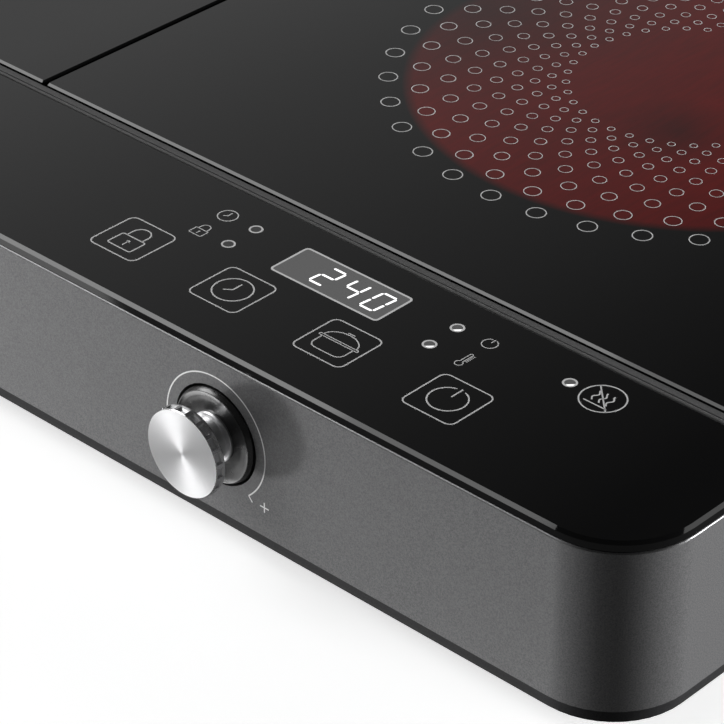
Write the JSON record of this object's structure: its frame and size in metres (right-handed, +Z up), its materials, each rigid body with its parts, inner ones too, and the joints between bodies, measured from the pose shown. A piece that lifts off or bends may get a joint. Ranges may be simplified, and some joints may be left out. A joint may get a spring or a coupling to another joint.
{
  "type": "double hot plate burner",
  "caption": "Tabletop two-zone radiant hot plate: dark metal body, black glass deck with bevelled edges, front touch panel, a turning metal knob for each zone.",
  "frame": {"origin": "on the table under the middle of the whole object, knobs and cable gland included, level with the bottom of the rubber feet", "axes": "+X to the user's right along the front, +Y away from the user, +Z up"},
  "size_m": [0.6, 0.3732, 0.067],
  "materials": {
    "painted_steel": "fine-grained metallic dark grey paint, satin",
    "base_paint": "matt black-grey powder paint",
    "black_glass": "black glass-ceramic, polished, bevelled edges",
    "silicone": "black silicone",
    "rubber": "black rubber, moulded",
    "zinc_steel": "zinc-plated sheet steel",
    "steel_fasteners": "zinc-plated steel",
    "spun_aluminium": "turned and spun-brushed aluminium",
    "knob_black": "glossy black",
    "black_plastic": "moulded black plastic",
    "circuit_board": "green solder mask",
    "lamp_plastic": "milky light guide",
    "conductive_foam": "carbon-filled foam",
    "insulation": "microporous insulation, matt",
    "ribbon_alloy": "oxidised heating alloy, glowing red when on",
    "ceramic_white": "glazed white ceramic",
    "component_plastic": "moulded component cases",
    "board_nylon": "natural nylon",
    "heatsink_aluminium": "extruded, matt",
    "ferrite": "ferrite ring"
  },
  "bodies": {
    "chassis": {"base_screws": "steel_fasteners", "base_tray": "base_paint", "board_standoffs": "board_nylon", "cable_gland": "black_plastic", "control_board_left": "circuit_board", "control_board_right": "circuit_board", "control_carrier": "black_plastic", "control_glass": "black_glass", "cooktop_glass_left": "black_glass", "cooktop_glass_right": "black_glass", "display_module_left": "black_plastic", "display_module_right": "black_plastic", "divider_rail": "zinc_steel", "encoder_body_left": "component_plastic", "encoder_body_right": "component_plastic", "encoder_nuts": "steel_fasteners", "fan_frame": "black_plastic", "fan_screws": "steel_fasteners", "filter_capacitor": "component_plastic", "filter_choke": "ferrite", "foot_screws": "steel_fasteners", "gland_nut": "black_plastic", "glass_seal": "silicone", "heater_bridge_left": "zinc_steel", "heater_bridge_right": "zinc_steel", "heater_insulation_left": "insulation", "heater_insulation_right": "insulation", "heater_pan_left": "zinc_steel", "heater_pan_right": "zinc_steel", "heating_ribbon_left": "ribbon_alloy", "heating_ribbon_right": "ribbon_alloy", "heatsink": "heatsink_aluminium", "housing_shell": "painted_steel", "indicator_lamps_left": "lamp_plastic", "indicator_lamps_right": "lamp_plastic", "insulation_ring_left": "insulation", "insulation_ring_right": "insulation", "knob_well_left": "black_plastic", "knob_well_right": "black_plastic", "power_board": "circuit_board", "power_triacs": "component_plastic", "rubber_feet": "rubber", "seam_rail": "zinc_steel", "seam_trim": "painted_steel", "terminal_block": "ceramic_white", "thermal_limiter_left": "ceramic_white", "thermal_limiter_right": "ceramic_white", "touch_pads_left": "conductive_foam", "touch_pads_right": "conductive_foam", "zone_relays": "component_plastic"},
    "knob_right": {"encoder_shaft_right": "steel_fasteners", "knob_skirt_right": "knob_black", "knob_collar_right": "spun_aluminium", "knob_cap_right": "spun_aluminium"},
    "knob_left": {"encoder_shaft_left": "steel_fasteners", "knob_skirt_left": "knob_black", "knob_collar_left": "spun_aluminium", "knob_cap_left": "spun_aluminium"},
    "fan": {"fan_rotor": "black_plastic"}
  },
  "joints": [
    {"name": "knob_right_turn", "type": "hinge", "parent": "chassis", "child": "knob_right", "pos_m": [0.15, -0.17335, 0.038], "axis": [0, 1, 0], "continuous": true},
    {"name": "knob_left_turn", "type": "hinge", "parent": "chassis", "child": "knob_left", "pos_m": [-0.15, -0.17335, 0.038], "axis": [0, 1, 0], "continuous": true},
    {"name": "fan_spin", "type": "hinge", "parent": "chassis", "child": "fan", "pos_m": [0, 0.12, 0.017], "axis": [0, 0, 1], "continuous": true}
  ]
}
